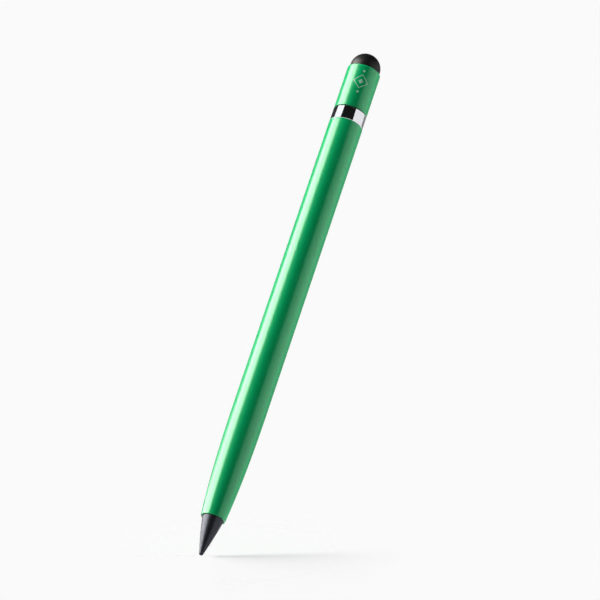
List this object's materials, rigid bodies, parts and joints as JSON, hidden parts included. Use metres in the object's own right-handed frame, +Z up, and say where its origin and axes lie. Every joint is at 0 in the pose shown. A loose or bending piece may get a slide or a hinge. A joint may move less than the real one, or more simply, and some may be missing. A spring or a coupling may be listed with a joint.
{
  "type": "metal pencil",
  "caption": "Everlasting metal pencil: screwed-in graphite-alloy nib, tapered lacquered tube barrel, bright trim ring, end sleeve and a soft stylus dome.",
  "frame": {"origin": "the writing tip, on the pencil's axis", "axes": "+Z up the pencil's axis from the writing tip to the stylus dome; X and Y are alike, because the pencil is round"},
  "size_m": [0.009, 0.009, 0.148],
  "materials": {
    "lacquered_aluminium": "green satin-gloss lacquer",
    "chrome_plate": "polished chrome on brass",
    "graphite_alloy": "ground satin graphite alloy",
    "turned_steel": "turned",
    "turned_brass": "turned",
    "nitrile_rubber": "matte",
    "moulded_abs": "moulded",
    "silicone_rubber": "satin black conductive silicone"
  },
  "bodies": {
    "barrel": {"barrel_tube": "lacquered_aluminium", "front_bush": "turned_brass", "joiner": "moulded_abs", "trim_ring": "chrome_plate", "end_sleeve": "lacquered_aluminium", "dome_holder": "turned_brass"},
    "seal": {"nib_seal": "nitrile_rubber"},
    "nib": {"nib_cone": "graphite_alloy", "nib_stud": "turned_steel"},
    "dome": {"stylus_dome": "silicone_rubber"}
  },
  "joints": [
    {"name": "nib_travel", "type": "slide", "parent": "barrel", "child": "seal", "axis": [0, 0, 1], "range_m": [-0.0063, 0]},
    {"name": "nib_turn", "type": "hinge", "parent": "seal", "child": "nib", "pos_m": [0, 0, 0.0108], "axis": [0, 0, 1], "range_deg": [-3240, 0]},
    {"name": "dome_press", "type": "slide", "parent": "barrel", "child": "dome", "axis": [0, 0, 1], "range_m": [-0.0008, 0], "stiffness_N_per_m": 1200}
  ],
  "couplings": [
    {"joint": "nib_turn", "follows": "nib_travel", "rad_per_m": 8976}
  ]
}
